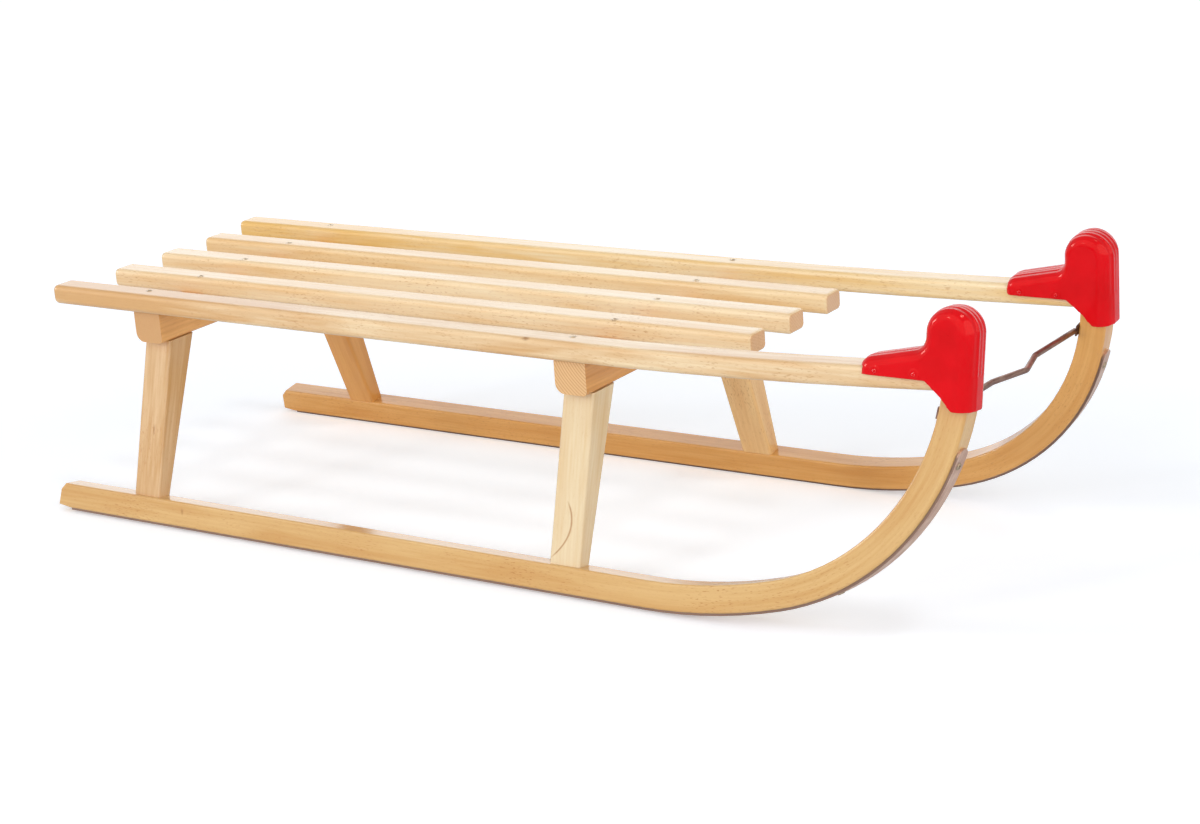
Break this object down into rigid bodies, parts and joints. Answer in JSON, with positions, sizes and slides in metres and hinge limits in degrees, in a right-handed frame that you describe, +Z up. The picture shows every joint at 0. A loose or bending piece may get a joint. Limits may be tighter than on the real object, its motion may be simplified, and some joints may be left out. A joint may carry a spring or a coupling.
{
  "type": "davos sled",
  "caption": "Beech davos sled: slatted seat on splayed legs and bent, steel-shod runners, with plastic caps over the horns and a notched steel pull bar between them.",
  "frame": {"origin": "on the ground, under the middle of the sled's length and width", "axes": "+X forward towards the horns, +Y to the rider's left, +Z up"},
  "size_m": [0.9006, 0.3382, 0.2584],
  "materials": {
    "slat_beech": "planed and lacquered",
    "crossbar_beech": "planed and lacquered",
    "leg_beech": "planed and lacquered",
    "runner_beech": "steam-bent and lacquered",
    "cap_plastic": "glossy moulded",
    "strip_steel": "rolled, lightly worn",
    "bar_steel": "rolled, browned"
  },
  "bodies": {
    "root": {"runner_left": "runner_beech", "runner_strip_left": "strip_steel", "leg_rear_left": "leg_beech", "leg_front_left": "leg_beech", "slat_outer_left": "slat_beech", "slat_inner_left": "slat_beech", "cap_left": "cap_plastic", "runner_right": "runner_beech", "runner_strip_right": "strip_steel", "leg_rear_right": "leg_beech", "leg_front_right": "leg_beech", "slat_outer_right": "slat_beech", "slat_inner_right": "slat_beech", "cap_right": "cap_plastic", "crossbar_rear": "crossbar_beech", "crossbar_front": "crossbar_beech", "slat_middle": "slat_beech", "pull_bar": "bar_steel"}
  },
  "joints": []
}
